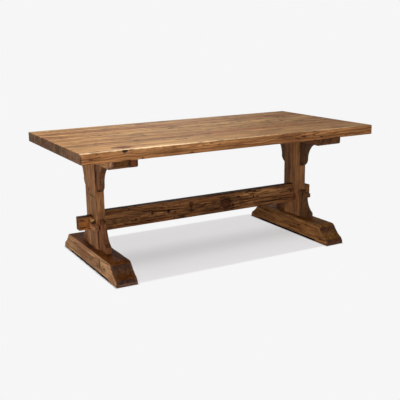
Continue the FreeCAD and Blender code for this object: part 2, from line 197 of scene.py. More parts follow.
# Growth rings round a pith that runs along X. Flame adds short waves, Bend pushes rings round a knot.
def buildGrowthRings():
    tree, given, result = newGroup("growthRings", {
        "Vector": noVector, "RingWidth": 0.006, "Wander": 0.03, "Flame": 0.0, "Bend": 0.0,
    }, ["Late", "RingTone"])
    spot = given["Vector"]
    slow = noiseOf(tree, stretch(tree, spot, *ringShape["drift"]), 1.0, 2.5)["Color"]
    drift = vectorMaths(tree, "SCALE", vectorMaths(tree, "SUBTRACT", slow, grey[:3]), given["Wander"])
    _, across, up = splitVector(tree, vectorMaths(tree, "ADD", spot, drift))
    radius = maths(tree, "SQRT", timesAdd(tree, across, across, times(tree, up, up)))
    quick = noiseOf(tree, stretch(tree, spot, *ringShape["waves"]), 1.0, 2.0, 0.55)["Fac"]
    radius = timesAdd(tree, minus(tree, quick, 0.5), given["Flame"], radius)
    years = addNode(tree, "ShaderNodeTexNoise", noise_dimensions="1D")
    feed(tree, years.inputs["W"], times(tree, radius, ringShape["yearScale"]))
    count = timesAdd(tree, years.outputs["Fac"], ringShape["yearSwing"],
                     maths(tree, "DIVIDE", radius, given["RingWidth"]))
    count = minus(tree, count, given["Bend"])
    ring = maths(tree, "FRACT", count)
    tone = addNode(tree, "ShaderNodeTexWhiteNoise", noise_dimensions="1D")
    feed(tree, tone.inputs["W"], maths(tree, "FLOOR", count))
    darker = step(tree, ring, *ringShape["darkens"])
    feed(tree, result["Late"], times(tree, darker, inverted(tree, step(tree, ring, *ringShape["ends"]))))
    feed(tree, result["RingTone"], tone.outputs["Value"])
    return tree


# Masks of a knot or patch, from near, which is 0 in its middle and 1 at its rim.
def spotMasks(tree, near, shape):
    fall = maths(tree, "EXPONENT", times(tree, near, shape["bendFall"]))
    return {
        "Core": inverted(tree, step(tree, near, *shape["core"])),
        "Rim": minus(tree, step(tree, near, *shape["rimRises"]), step(tree, near, *shape["rimFalls"])),
        "Bend": times(tree, fall, shape["bend"]),
    }


knotShape = {
    "perMetre": 4.5, "bearing": 0.12,  # how many cells, and how much a radian counts as
    "least": 1.6, "spread": 4.9,  # smallest knot and what chance adds, in knot sizes
    "core": (0.8, 1.05), "rimRises": (0.7, 0.98), "rimFalls": (1.0, 1.3), "bendFall": -0.7, "bend": 5.0,
    "ragScale": 55.0, "rag": 0.5, "ragFrom": 0.75,
}


# Branches leave the pith radially, so a knot is placed by its distance along and its bearing.
def buildBranchKnots():
    tree, given, result = newGroup("branchKnots", {
        "Vector": noVector, "KnotSize": 0.012, "KnotShare": 0.3,
    }, ["Core", "Rim", "Bend"])
    along, across, up = splitVector(tree, given["Vector"])
    chart = addNode(tree, "ShaderNodeCombineXYZ")
    feed(tree, chart.inputs["X"], along)
    feed(tree, chart.inputs["Y"], times(tree, maths(tree, "ARCTAN2", up, across), knotShape["bearing"]))
    cells = addNode(tree, "ShaderNodeTexVoronoi", voronoi_dimensions="2D", feature="F1")
    feed(tree, cells.inputs["Vector"], chart.outputs[0])
    feed(tree, cells.inputs["Scale"], knotShape["perMetre"])
    lot = addNode(tree, "ShaderNodeSeparateColor")
    feed(tree, lot.inputs[0], cells.outputs["Color"])
    chosen = maths(tree, "LESS_THAN", lot.outputs["Red"], given["KnotShare"])
    reach = timesAdd(tree, lot.outputs["Green"], knotShape["spread"], knotShape["least"])
    reach = times(tree, reach, given["KnotSize"])
    ragged = noiseOf(tree, given["Vector"], knotShape["ragScale"], 1.0)["Fac"]
    ragged = timesAdd(tree, ragged, knotShape["rag"], knotShape["ragFrom"])
    near = maths(tree, "DIVIDE", times(tree, cells.outputs["Distance"], ragged), reach)
    for label, mask in spotMasks(tree, near, knotShape).items():
        feed(tree, result[label], times(tree, chosen, mask))
    return tree


markShape = {
    "core": (0.75, 1.0), "rimRises": (0.6, 0.95), "rimFalls": (1.0, 1.35), "bendFall": -0.8, "bend": 4.0,
    "soft": (0.25, 1.1), "ragScale": 42.0, "knotRag": 0.7, "patchRag": 0.9,
}


# One knot, stain or pale patch at a place of its own.
def buildPlacedMark():
    tree, given, result = newGroup("placedMark", {
        "Vector": noVector, "Centre": noVector, "PerSize": (50.0, 50.0, 50.0), "Ragged": 0.6,
    }, ["Core", "Rim", "Soft", "Bend"])
    away = vectorMaths(tree, "SUBTRACT", given["Vector"], given["Centre"])
    away = vectorMaths(tree, "LENGTH", vectorMaths(tree, "MULTIPLY", away, given["PerSize"]))
    rough = minus(tree, noiseOf(tree, given["Vector"], markShape["ragScale"])["Fac"], 0.5)
    near = timesAdd(tree, rough, given["Ragged"], away)
    for label, mask in spotMasks(tree, near, markShape).items():
        feed(tree, result[label], mask)
    feed(tree, result["Soft"], inverted(tree, step(tree, near, *markShape["soft"])))
    return tree


# Scale of each noise along and across the grain, its detail and its roughness.
lineNoises = {
    "Band": (0.8, 13.0, 2.5, 0.55), "Streak": (2.4, 40.0, 3.0, 0.55), "Thread": (5.0, 100.0, 2.0, 0.6),
    "Fibre": (9.0, 260.0, 3.0, 0.6), "Blotch": (4.5, 11.0, 3.0, 0.6),
    "checkLine": (3.2, 46.0, 1.5, 0.55), "checkPlace": (6.0, 24.0, 1.0, 0.55),
    "dashLine": (17.0, 95.0, 1.5, 0.55), "dashPlace": (3.0, 9.0, 1.0, 0.55),
}
lineShape = {
    "fewChecks": 0.82, "checkShare": 0.34, "opens": 0.05, "checkWidth": (0.01, 0.03),
    "dash": (0.58, 0.68), "dashPlace": (0.40, 0.58),
}


# Everything that runs in lines along X: bands, streaks, threads, fibres, checks and short dashes.
def buildFibresAndChecks():
    tree, given, result = newGroup("fibresAndChecks", {"Vector": noVector, "Checks": 0.5}, [
        "Band", "Streak", "Thread", "Fibre", "Blotch", "Check", "Dash"])

    def lines(label):
        along, across, detail, roughness = lineNoises[label]
        return noiseOf(tree, stretch(tree, given["Vector"], along, across), 1.0, detail, roughness)["Fac"]

    for label in ("Band", "Streak", "Thread", "Fibre", "Blotch"):
        feed(tree, result[label], lines(label))
    # A check follows the middle line of a slow noise, only where a second noise lets the wood open.
    middle = maths(tree, "ABSOLUTE", minus(tree, lines("checkLine"), 0.5))
    allowed = minus(tree, lineShape["fewChecks"], times(tree, given["Checks"], lineShape["checkShare"]))
    opened = step(tree, lines("checkPlace"), allowed, maths(tree, "ADD", allowed, lineShape["opens"]))
    beside = step(tree, middle, *lineShape["checkWidth"])
    feed(tree, result["Check"], times(tree, opened, inverted(tree, beside)))
    dashes = step(tree, lines("dashLine"), *lineShape["dash"])
    feed(tree, result["Dash"], times(tree, dashes, step(tree, lines("dashPlace"), *lineShape["dashPlace"])))
    return tree


# Where each effect starts and where it is full.
limits = {
    "upward": (0.4, 0.9), "end": (0.4, 0.85), "rub": (0.15, 0.6),
    "band": (0.42, 0.68), "blotch": (0.48, 0.7), "thread": (0.5, 0.64), "fleck": (0.35, 0.7),
}


# Which faces look up and which show end grain. End grain calms the figure and may stay unrubbed.
def buildFaceTurns():
    tree, given, result = newGroup("faceTurns", {
        "Normal": noVector, "Grain": (1.0, 0.0, 0.0), "EndCalm": 0.5, "EndWear": 1.0,
    }, ["Upward", "End", "Calm", "Rub"])
    endward = vectorMaths(tree, "LENGTH", vectorMaths(tree, "MULTIPLY", given["Normal"], given["Grain"]))
    end = step(tree, endward, *limits["end"])
    feed(tree, result["Upward"], step(tree, splitVector(tree, given["Normal"])[2], *limits["upward"]))
    feed(tree, result["End"], end)
    feed(tree, result["Calm"], inverted(tree, times(tree, end, given["EndCalm"])))
    fade = minus(tree, given["EndWear"], 1.0)
    feed(tree, result["Rub"], timesAdd(tree, step(tree, endward, *limits["rub"]), fade, 1.0))
    return tree


# The wood's own colour: rings, then bands and blotches over them.
def buildSawnWood():
    tree, given, result = newGroup("sawnWood", {
        "Light": grey, "Dark": grey, "Heart": grey, "Late": 0.0, "RingTone": 0.0, "Band": 0.0, "Blotch": 0.0,
        "Upward": 0.0, "Calm": 1.0, "Rings": 0.7, "SideRings": 0.85, "RingTones": 0.5, "Bands": 0.5,
        "Blotches": 0.6,
    }, ["Color"])
    ringShare = timesAdd(tree, given["Upward"], minus(tree, given["Rings"], given["SideRings"]),
                         given["SideRings"])
    ringShare = times(tree, ringShare, given["Calm"])
    colour = overlay(tree, given["Light"], given["Dark"], given["Late"], ringShare)
    ringTone = times(tree, given["RingTone"], given["RingTones"])
    colour = overlay(tree, colour, given["Dark"], ringTone, given["Calm"])
    band = step(tree, given["Band"], *limits["band"])
    colour = overlay(tree, colour, given["Heart"], band, given["Bands"])
    blotch = step(tree, given["Blotch"], *limits["blotch"])
    feed(tree, result["Color"], overlay(tree, colour, given["Dark"], blotch, given["Blotches"]))
    return tree


linesOnBare = 0.4  # how much of the streaks and fibres bare wood shows


# Streaks and fibres lighten and darken the wood, and also the bare wood that marks may show.
def buildGrainLines():
    tree, given, result = newGroup("grainLines", {
        "Color": grey, "Stain": grey, "Bare": grey, "Streak": 0.5, "Fibre": 0.5, "Thread": 0.0, "Calm": 1.0,
        "Streaks": 1.9, "Fibres": 1.0, "Threads": 0.6,
    }, ["Color", "BareColor"])
    streak = times(tree, given["Calm"], given["Streaks"])
    streak = timesAdd(tree, minus(tree, given["Streak"], 0.5), streak, 1.0)
    fibre = timesAdd(tree, given["Fibre"], given["Fibres"], timesAdd(tree, given["Fibres"], -0.5, 1.0))
    level = times(tree, streak, fibre)
    thread = step(tree, given["Thread"], *limits["thread"])
    colour = shade(tree, given["Color"], level)
    feed(tree, result["Color"], overlay(tree, colour, given["Stain"], thread, given["Threads"]))
    level = timesAdd(tree, level, linesOnBare, 1 - linesOnBare)
    feed(tree, result["BareColor"], shade(tree, given["Bare"], level))
    return tree


# The stain over all: end grain soaks it up. Upper faces take a tone of their own, partly weathering and
# partly painted light: painted shade on the tops of the feet and the stretcher, a painted highlight on the
# upper wedges' tops, a slight painted sheen on the table top.
def buildFinishTones():
    tree, given, result = newGroup("finishTones", {
        "Color": grey, "Tone": white, "EndTone": white, "TopTone": white, "End": 0.0, "Upward": 0.0,
    }, ["Color"])
    colour = shade(tree, given["Color"], given["Tone"])
    colour = blendColours(tree, given["End"], colour, shade(tree, colour, given["EndTone"]))
    # Upward faces get their own tone: weathering, and also painted shade, painted highlight or painted sheen,
    # depending on the timber.
    upwardLightAndWeather = shade(tree, colour, given["TopTone"])
    feed(tree, result["Color"], blendColours(tree, given["Upward"], colour, upwardLightAndWeather))
    return tree


# Arrises rubbed bare, or greasy where Edge is dark.
def buildRubbedArrises():
    tree, given, result = newGroup("rubbedArrises", {
        "Color": grey, "Edge": grey, "Worn": 0.0, "Rub": 1.0, "EdgeWear": 0.2,
    }, ["Color"])
    rubbed = times(tree, given["Worn"], given["Rub"])
    feed(tree, result["Color"], overlay(tree, given["Color"], given["Edge"], rubbed, given["EdgeWear"]))
    return tree


flawShares = {"Knot": 0.75, "Rim": 0.6, "Check": 0.85}


# Dashes, knots with their rims, and open checks lie over everything else.
def buildDarkFlaws():
    tree, given, result = newGroup("darkFlaws", {
        "Color": grey, "Deep": grey, "KnotColor": grey, "Dash": 0.0, "Knot": 0.0, "Rim": 0.0, "Check": 0.0,
        "Dashes": 0.8,
    }, ["Color"])
    colour = overlay(tree, given["Color"], given["Deep"], given["Dash"], given["Dashes"])
    for flaw, share in flawShares.items():
        own = given["KnotColor" if flaw == "Knot" else "Deep"]
        colour = overlay(tree, colour, own, given[flaw], share)
    feed(tree, result["Color"], colour)
    return tree


reliefShares = {"late": 0.35, "fibre": 0.5, "check": 2.5, "fibreRoughness": 0.25, "smoother": 0.12}


# Late wood and fibres stand proud, knots' rims and checks lie low.
def buildWoodRelief():
    tree, given, result = newGroup("woodRelief", {
        "Late": 0.0, "Fibre": 0.5, "Check": 0.0, "Rim": 0.0, "Roughness": 0.62,
    }, ["Height", "Roughness"])
    height = timesAdd(tree, given["Late"], reliefShares["late"],
                      times(tree, given["Fibre"], reliefShares["fibre"]))
    height = minus(tree, height, times(tree, given["Check"], reliefShares["check"]))
    feed(tree, result["Height"], minus(tree, height, given["Rim"]))
    smoothest = minus(tree, given["Roughness"], reliefShares["smoother"])
    feed(tree, result["Roughness"], timesAdd(tree, given["Fibre"], reliefShares["fibreRoughness"], smoothest))
    return tree


# Fine flecks of a second colour, for dirt, zinc and plain beech.
def buildFlecks():
    tree, given, result = newGroup("flecks", {
        "Vector": noVector, "Pale": grey, "Dull": grey, "Scale": 90.0, "Ragged": 0.6, "Roughness": 0.6,
        "Spread": 0.3,
    }, ["Color", "Roughness", "Height"])
    fleck = noiseOf(tree, given["Vector"], given["Scale"], 3.0, given["Ragged"])["Fac"]
    dull = step(tree, fleck, *limits["fleck"])
    feed(tree, result["Color"], blendColours(tree, dull, given["Pale"], given["Dull"]))
    smoothest = timesAdd(tree, given["Spread"], -0.5, given["Roughness"])
    feed(tree, result["Roughness"], timesAdd(tree, fleck, given["Spread"], smoothest))
    feed(tree, result["Height"], fleck)
    return tree


growthRings = buildGrowthRings()
branchKnots = buildBranchKnots()
placedMark = buildPlacedMark()
fibresAndChecks = buildFibresAndChecks()
faceTurns = buildFaceTurns()
sawnWood = buildSawnWood()
grainLines = buildGrainLines()
finishTones = buildFinishTones()
rubbedArrises = buildRubbedArrises()
darkFlaws = buildDarkFlaws()
woodRelief = buildWoodRelief()
flecks = buildFlecks()

# The grain runs along one axis of the object, which is turned onto the X of the groups.
grains = {
    "x": {"axis": (1, 0, 0), "turn": (0.0, 0.0, 0.0)},
    "y": {"axis": (0, 1, 0), "turn": (0.0, 0.0, -math.pi / 2)},
    "z": {"axis": (0, 0, 1), "turn": (0.0, math.pi / 2, 0.0)},
}


def newMaterial(name):
    material = bpy.data.materials.new(name)
    material.use_nodes = True
    return material, material.node_tree, material.node_tree.nodes["Principled BSDF"]


def dress(tree, shader, found, look):
    feed(tree, shader.inputs["Base Color"], found["Color"])
    feed(tree, shader.inputs["Roughness"], found["Roughness"])
    shader.inputs["Metallic"].default_value = look["metallic"]
    shader.inputs["Specular IOR Level"].default_value = look["sheen"]
    bump = addNode(tree, "ShaderNodeBump")
    bump.inputs["Strength"].default_value = look["bump"]
    bump.inputs["Distance"].default_value = look["bumpDepth"]
    feed(tree, bump.inputs["Height"], found["Height"])
    feed(tree, shader.inputs["Normal"], bump.outputs["Normal"])


# Marks are (kind, centre, half size along x, y, z, strength), in the object's own frame.
# The kinds are knot, stain, pale, red and bare.
def addMarks(tree, spot, marks):
    masks = {kind: [] for kind in ("knot", "rim", "bend", "stain", "pale", "red", "bare")}
    for kind, centre, half, strength in marks:
        mark = useGroup(tree, placedMark, {
            "Vector": spot, "Centre": centre, "PerSize": tuple(1 / size for size in half),
            "Ragged": markShape["knotRag" if kind == "knot" else "patchRag"]})
        if kind == "knot":
            masks["knot"].append(times(tree, mark["Core"], strength))
            masks["rim"].append(times(tree, mark["Rim"], strength))
            masks["bend"].append(mark["Bend"])
        else:
            masks[kind].append(times(tree, mark["Soft"], strength))
    return masks


def joined(tree, operation, masks, first):
    for mask in masks:
        first = maths(tree, operation, first, mask)
    return first


def makeTimber(name, look):
    material, tree, shader = newMaterial(name)
    where = addNode(tree, "ShaderNodeTexCoord").outputs
    grain = grains[look["grain"]]
    turn = addNode(tree, "ShaderNodeMapping")
    feed(tree, turn.inputs["Vector"], where["Object"])
    turn.inputs["Rotation"].default_value = grain["turn"]
    turn.inputs["Location"].default_value = look["pith"]
    worn = addNode(tree, "ShaderNodeAttribute", attribute_name="worn")
    marks = addMarks(tree, where["Object"], look["marks"])
    found = {**asSockets(look), "Vector": turn.outputs["Vector"], "Normal": where["Normal"],
             "Grain": grain["axis"], "Worn": worn.outputs["Fac"]}

    # What a group gives is there for the groups after it.
    def lay(*groups):
        for group in groups:
            found.update({socket.name: socket for socket in useGroup(tree, group, found)})

    def layMarks(kind, markColour):
        for mask in marks[kind]:
            found["Color"] = blendColours(tree, mask, found["Color"], markColour)

    lay(branchKnots)
    found["Knot"] = joined(tree, "MAXIMUM", marks["knot"], found["Core"])
    found["Rim"] = joined(tree, "MAXIMUM", marks["rim"], found["Rim"])
    found["Bend"] = joined(tree, "ADD", marks["bend"], found["Bend"])
    lay(growthRings, fibresAndChecks, faceTurns, sawnWood)
    layMarks("pale", look["light"])
    layMarks("red", look["heart"])
    lay(grainLines)
    layMarks("stain", look["stain"])
    lay(finishTones)
    layMarks("bare", found["BareColor"])
    lay(rubbedArrises, darkFlaws, woodRelief)
    dress(tree, shader, found, look)
    return material


def makeFlecked(name, finish):
    material, tree, shader = newMaterial(name)
    where = addNode(tree, "ShaderNodeTexCoord").outputs
    dress(tree, shader, useGroup(tree, flecks, {**asSockets(finish), "Vector": where["Object"]}), finish)
    return material


# The dust and old finish that gather in cracks, holes and chips, made near black so that it is also painted
# shade in these hollows.
cutDirtAndShade = makeFlecked("cutDirtAndShade", {
    "pale": (0.012, 0.007, 0.004), "dull": (0.055, 0.028, 0.014), "scale": 220.0, "ragged": 0.65,
    "roughness": 0.88, "spread": 0.2, "metallic": 0.0, "sheen": 0.05, "bump": 0.5, "bumpDepth": 0.0004,
})

# Worn timbers are cut again from the frame's solids.
wearHabits = {
    "merge": 1e-6, "flat": 0.5,  # points this near and turns of so few degrees are tidied away
    "eased": 0.0022,  # new arris on edges that the solid leaves square
    "squareEdge": 0.02, "squareTurn": 60,  # shortest edge and least turn in degrees that are eased
    "margin": 0.005,  # first cut in from each face
    "strides": (0.018, 0.016, 0.014), "onCut": 5e-5,
    "wave": 0.0005, "arris": 0.0018, "chips": 0.0040,
    "waveScale": 9, "arrisScale": 14, "chipScale": 48, "chipFrom": 0.35, "seedShift": (1.7, 0.9, 2.3),
    "agree": 0.975,  # normals that agree less than this meet at an arris
    "leastRub": 0.35,  # how rubbed an arris is at least
    "rubbedBeside": 0.35,  # how rubbed the first row of points in from an arris is
    "onFloor": 0.0005,  # points lower than this keep their height
    "sharp": 42,  # turns of more degrees than this stay sharp
}


def cleanSolid(nodeName, habits):
    mesh = bmesh.new()
    mesh.from_mesh(nodes[nodeName].data)
    bmesh.ops.remove_doubles(mesh, verts=mesh.verts, dist=habits["merge"])
    bmesh.ops.dissolve_limit(mesh, angle_limit=math.radians(habits["flat"]), verts=mesh.verts,
                             edges=mesh.edges)
    return mesh


def easeArrises(mesh, habits):
    square = [edge for edge in mesh.edges
              if edge.is_convex and edge.calc_length() > habits["squareEdge"]
              and edge.calc_face_angle(0.0) > math.radians(habits["squareTurn"])]
    bmesh.ops.bevel(mesh, geom=square, offset=habits["eased"], offset_type="OFFSET", segments=2, profile=0.5,
                    affect="EDGES", clamp_overlap=True)


# Cutters stand a little proud of the face that they cut. Cracks taper off, holes narrow downwards.
crackShape = {"proud": 0.002, "half": 0.6, "taper": 0.3}
holeShape = {"corners": 9, "proud": 0.003, "mouth": 1.15, "bottom": 0.7, "ragged": (0.85, 1.1)}
chipShape = {"swell": 0.35, "lumps": 1.7, "shift": 9}


# Joins rings of points into a closed cutter.
def skin(cutters, rings):
    for first, second in zip(rings, rings[1:]):
        for corner in range(len(first)):
            follow = (corner + 1) % len(first)
            cutters.faces.new((first[corner], first[follow], second[follow], second[corner]))
    cutters.faces.new(rings[0])
    cutters.faces.new(rings[-1][::-1])


# A sliver with a V section that follows a path over a face and closes at both ends.
def addCrack(cutters, path, outward, width, depth):
    last = len(path) - 1
    taper = crackShape["taper"]
    rings = []
    for number, point in enumerate(path):
        ahead = (path[min(number + 1, last)] - path[max(number - 1, 0)]).normalized()
        sideways = ahead.cross(outward).normalized()
        share = math.sin(math.pi * (number + taper) / (last + 2 * taper))
        crest = point + outward * crackShape["proud"]
        rings.append([cutters.verts.new(crest + sideways * width * share * crackShape["half"]),
                      cutters.verts.new(crest - sideways * width * share * crackShape["half"]),
                      cutters.verts.new(point - outward * depth * share)])
    skin(cutters, rings)


def addHole(cutters, spot, outward, radius, depth, chance):
    sideways = outward.orthogonal().normalized()
    rings = []
    levels = ((holeShape["proud"], holeShape["mouth"]), (0.0, 1.0), (-depth, holeShape["bottom"]))
    for height, share in levels:
        ring = []
        for corner in range(holeShape["corners"]):
            reach = radius * share * chance.uniform(*holeShape["ragged"])
            turned = Matrix.Rotation(math.tau * corner / holeShape["corners"], 3, outward) @ sideways
            ring.append(cutters.verts.new(spot + outward * height + turned * reach))
        rings.append(ring)
    skin(cutters, rings)


def addChip(cutters, spot, half, chance):
    made = bmesh.ops.create_icosphere(cutters, subdivisions=2, radius=1.0)
    shift = Vector([chance.uniform(0, chipShape["shift"]) for axis in range(3)])
    for vertex in made["verts"]:
        swell = 1 + chipShape["swell"] * noise.noise(vertex.co * chipShape["lumps"] + shift)
        vertex.co = Vector(spot) + Vector([vertex.co[axis] * half[axis] * swell for axis in range(3)])


# A path over a face that drifts from side to side; outward is the face's normal.
def wanderingPath(start, end, outward, sway, chance, steps=9):
    start, end = Vector(start), Vector(end)
    ahead = end - start
    sideways = ahead.cross(outward).normalized()
    drift = 0.0
    path = []
    for number in range(steps):
        path.append(start + ahead * number / (steps - 1) + sideways * drift)
        drift += chance.uniform(-sway, sway)
    return path


# What a cut lays bare takes the tool's own dark material, which is dirt and also painted shade.
def carve(piece, cutters):
    bmesh.ops.recalc_face_normals(cutters, faces=cutters.faces)
    tool = bpy.data.objects.new("tool", bpy.data.meshes.new("tool"))
    cutters.to_mesh(tool.data)
    cutters.free()
    tool.data.materials.append(cutDirtAndShade)
    bpy.context.collection.objects.link(tool)
    cut = piece.modifiers.new("cut", "BOOLEAN")
    cut.operation, cut.solver, cut.object = "DIFFERENCE", "EXACT", tool
    cut.use_self = cut.use_hole_tolerant = True
    cut.material_mode = "TRANSFER"
    settled = piece.evaluated_get(bpy.context.evaluated_depsgraph_get())
    carved = bpy.data.meshes.new_from_object(settled)
    if not carved.polygons:
        raise RuntimeError("the cuts took all of " + piece.name)
    piece.modifiers.clear()
    piece.data = carved
    bpy.data.objects.remove(tool)


def dice(mesh, habits):
    for axis in range(3):
        spots = [vertex.co[axis] for vertex in mesh.verts]
        low, high = min(spots) + habits["margin"], max(spots) - habits["margin"]
        count = max(1, round((high - low) / habits["strides"][axis]))
        across = Vector([1.0 if other == axis else 0.0 for other in range(3)])
        for number in range(count + 1):
            bmesh.ops.bisect_plane(mesh, geom=mesh.verts[:] + mesh.edges[:] + mesh.faces[:],
                                   dist=habits["onCut"], plane_no=across,
                                   plane_co=across * (low + (high - low) * number / count))


def noiseShare(spot):
    return 0.5 + 0.5 * noise.noise(spot)


# Wear only takes wood away, so the piece stays inside the solid that it stands for.
def wearAway(mesh, habits, seed):
    mesh.normal_update()
    layer = mesh.verts.layers.float.new("worn")
    shift = Vector([seed * share for share in habits["seedShift"]])
    for vertex in mesh.verts:
        normals = [face.normal for face in vertex.link_faces]
        depth = habits["wave"] * noiseShare(vertex.co * habits["waveScale"] + shift)
        if min(normals[0].dot(normal) for normal in normals) < habits["agree"]:
            rub = noiseShare(vertex.co * habits["arrisScale"] - shift)
            chip = max(0.0, noise.noise(vertex.co * habits["chipScale"] + shift) - habits["chipFrom"])
            depth += habits["arris"] * rub + habits["chips"] * chip
            vertex[layer] = habits["leastRub"] + (1 - habits["leastRub"]) * rub
        height = vertex.co.z
        vertex.co -= vertex.normal * depth
        if height < habits["onFloor"]:
            vertex.co.z = height
    # The rubbed look runs a little way in from each arris.
    beside = {}
    for vertex in mesh.verts:
        if vertex[layer] == 0.0:
            beside[vertex] = max(edge.other_vert(vertex)[layer] for edge in vertex.link_edges)
    for vertex, wear in beside.items():
        vertex[layer] = wear * habits["rubbedBeside"]


def wornTimber(nodeName, seed, look, habits, cuts):
    mesh = cleanSolid(nodeName, habits)
    easeArrises(mesh, habits)
    piece = bpy.data.objects.new("worn_" + nodeName, bpy.data.meshes.new("worn_" + nodeName))
    mesh.to_mesh(piece.data)
    mesh.free()
    piece.data.materials.append(makeTimber(nodeName + "Wood", look))
    bpy.context.collection.objects.link(piece)
    if cuts:
        cutters = bmesh.new()
        cuts(cutters, random.Random(seed))
        carve(piece, cutters)
    mesh = bmesh.new()
    mesh.from_mesh(piece.data)
    dice(mesh, habits)
    wearAway(mesh, habits, seed)
    mesh.to_mesh(piece.data)
    mesh.free()
    piece.data.shade_smooth()
    piece.data.set_sharp_from_angle(angle=math.radians(habits["sharp"]))
    piece.modifiers.new("faces", "WEIGHTED_NORMAL").keep_sharp = True
    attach(piece, "root")
    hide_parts(nodeName)


# Plain pine, from which every timber's look starts.
pine = {
    "grain": "x", "ringWidth": 0.009, "wander": 0.09, "flame": 0.01, "knotSize": 0.014, "knotShare": 0.3,
    "checks": 0.7,
    "light": (0.56, 0.26, 0.092), "dark": (0.2, 0.075, 0.025), "heart": (0.28, 0.085, 0.028),
    "stain": (0.09, 0.032, 0.013), "deep": (0.022, 0.009, 0.005), "knotColor": (0.08, 0.026, 0.011),
    "edge": (0.42, 0.2, 0.08), "bare": (0.42, 0.2, 0.08), "endCalm": 0.5, "endWear": 1.0,
    "rings": 0.7, "sideRings": 0.85, "ringTones": 0.5, "bands": 0.5, "blotches": 0.6, "streaks": 1.9,
    "fibres": 1.0, "threads": 0.6, "dashes": 0.8,
    "tone": (1.0, 1.0, 1.0), "topTone": (1.0, 1.0, 1.0), "endTone": (0.5, 0.46, 0.46),
    "edgeWear": 0.2, "roughness": 0.62, "metallic": 0.0, "sheen": 0.12, "bump": 0.7, "bumpDepth": 0.0006,
}

# The top.
topBoards = {
    1: {"light": (0.7, 0.335, 0.12), "dark": (0.2, 0.068, 0.021), "pith": (2.3, 0.45, -0.655),
        "flame": 0.028, "ringWidth": 0.014, "rings": 0.35, "sideRings": 1.0, "bands": 0.3, "threads": 0.4,
        "knotShare": 0.06, "blotches": 0.6, "streaks": 1.6, "edge": (0.95, 0.66, 0.38), "edgeWear": 0.2,
        "tone": (1.04, 1.05, 1.12), "topTone": (0.72, 0.82, 0.84), "endTone": (0.29, 0.32, 0.42)},
    2: {"light": (0.52, 0.24, 0.088), "pith": (4.6, 0.23, -0.67), "endTone": (0.33, 0.36, 0.48)},
    3: {"light": (0.56, 0.26, 0.095), "pith": (6.9, 0.1, -0.7), "endTone": (0.24, 0.29, 0.34)},
    4: {"light": (0.58, 0.28, 0.102), "pith": (9.2, 0.0, -0.68), "endTone": (0.29, 0.32, 0.43)},
    5: {"light": (0.59, 0.285, 0.105), "pith": (11.5, -0.14, -0.66), "endTone": (0.3, 0.325, 0.43)},
    6: {"light": (0.52, 0.23, 0.082), "pith": (13.8, -0.29, -0.69), "endTone": (0.31, 0.38, 0.5)},
    7: {"light": (0.56, 0.265, 0.098), "pith": (16.1, -0.4, -0.66), "endTone": (0.27, 0.35, 0.44)},
}
# What all the boards of the top share.
# On the top the pale edge colours are partly wear and partly a painted highlight on the rounded arrises, and
# the upward tone pales and cools the boards a little as a painted sheen.
topFinish = {
    "sheen": 0.05, "roughness": 0.6, "edge": (0.8, 0.52, 0.27), "edgeWear": 0.75, "threads": 0.5,
    "bands": 0.6, "blotches": 0.75, "bare": (0.98, 0.7, 0.42), "endCalm": 0.75, "endWear": 0.0,
    "topTone": (0.95, 1.12, 1.18),
}
topMarks = [
    ("pale", (-0.5, -0.34, 0.76), (0.45, 0.05, 0.04), 0.75),
    ("red", (0.3, -0.19, 0.76), (0.75, 0.06, 0.04), 0.8),
    ("red", (-0.38, 0.262, 0.76), (0.6, 0.045, 0.04), 0.85),
    ("red", (0.75, 0.262, 0.76), (0.17, 0.045, 0.04), 0.85),
    ("pale", (-0.4, -0.44, 0.76), (0.5, 0.06, 0.04), 0.9),
    ("pale", (0.36, 0.12, 0.76), (0.34, 0.1, 0.04), 0.7),
    ("red", (-0.69, -0.39, 0.76), (0.08, 0.06, 0.03), 1.0),
    ("stain", (-0.7, -0.395, 0.76), (0.055, 0.045, 0.02), 0.75),
    ("pale", (-0.48, -0.4825, 0.735), (0.2, 0.02, 0.03), 0.25),
    # The bare marks along the front arris are worn wood and also a painted highlight on the rounded edge.
    ("bare", (-0.3, -0.478, 0.761), (0.8, 0.011, 0.004), 1.0),
    ("bare", (-0.6, -0.466, 0.763), (0.42, 0.026, 0.01), 0.75),
    ("bare", (0.66, -0.478, 0.761), (0.35, 0.009, 0.004), 0.6),
    ("bare", (-0.94, -0.472, 0.762), (0.06, 0.022, 0.008), 0.7),
    ("stain", (-0.96, -0.4825, 0.731), (0.007, 0.007, 0.04), 0.8),
    ("knot", (-0.834, 0.42, 0.76), (0.013, 0.01, 0.05), 1.0),
    ("knot", (-0.383, 0.377, 0.76), (0.014, 0.01, 0.05), 1.0),
    ("knot", (-0.869, 0.125, 0.76), (0.014, 0.011, 0.05), 1.0),
    ("stain", (-0.428, -0.07, 0.76), (0.018, 0.055, 0.02), 0.9),
    ("knot", (0.006, -0.075, 0.76), (0.016, 0.01, 0.05), 1.0),
    ("knot", (0.552, 0.083, 0.76), (0.016, 0.011, 0.05), 1.0),
    ("stain", (0.734, -0.03, 0.76), (0.06, 0.03, 0.02), 0.6),
    ("knot", (0.188, 0.09, 0.76), (0.026, 0.013, 0.05), 0.9),
    ("knot", (-0.512, 0.118, 0.76), (0.012, 0.009, 0.05), 1.0),
    ("knot", (-0.638, 0.09, 0.76), (0.013, 0.01, 0.05), 1.0),
    ("stain", (-0.72, -0.4825, 0.75), (0.018, 0.02, 0.014), 1.0),
    ("stain", (-0.62, -0.4825, 0.707), (0.012, 0.02, 0.01), 1.0),
]


# The front board is eased more and lost a flake from its upper arris. Every board has split a little
# at both ends: pairs are ranges for chance, and heights are measured down from the face of the top.
frontBoard = {"number": 1, "eased": 0.0032, "flakeAt": -0.719, "flakeDown": 0.002,
              "flakeHalf": (0.016, 0.01, 0.011)}
boardSplits = {"across": (0.25, 0.75), "top": (0.008, 0.02), "bottom": (0.03, 0.05), "lean": 0.015,
               "sway": 0.002, "steps": 5, "width": (0.0008, 0.0018), "depth": 0.01}


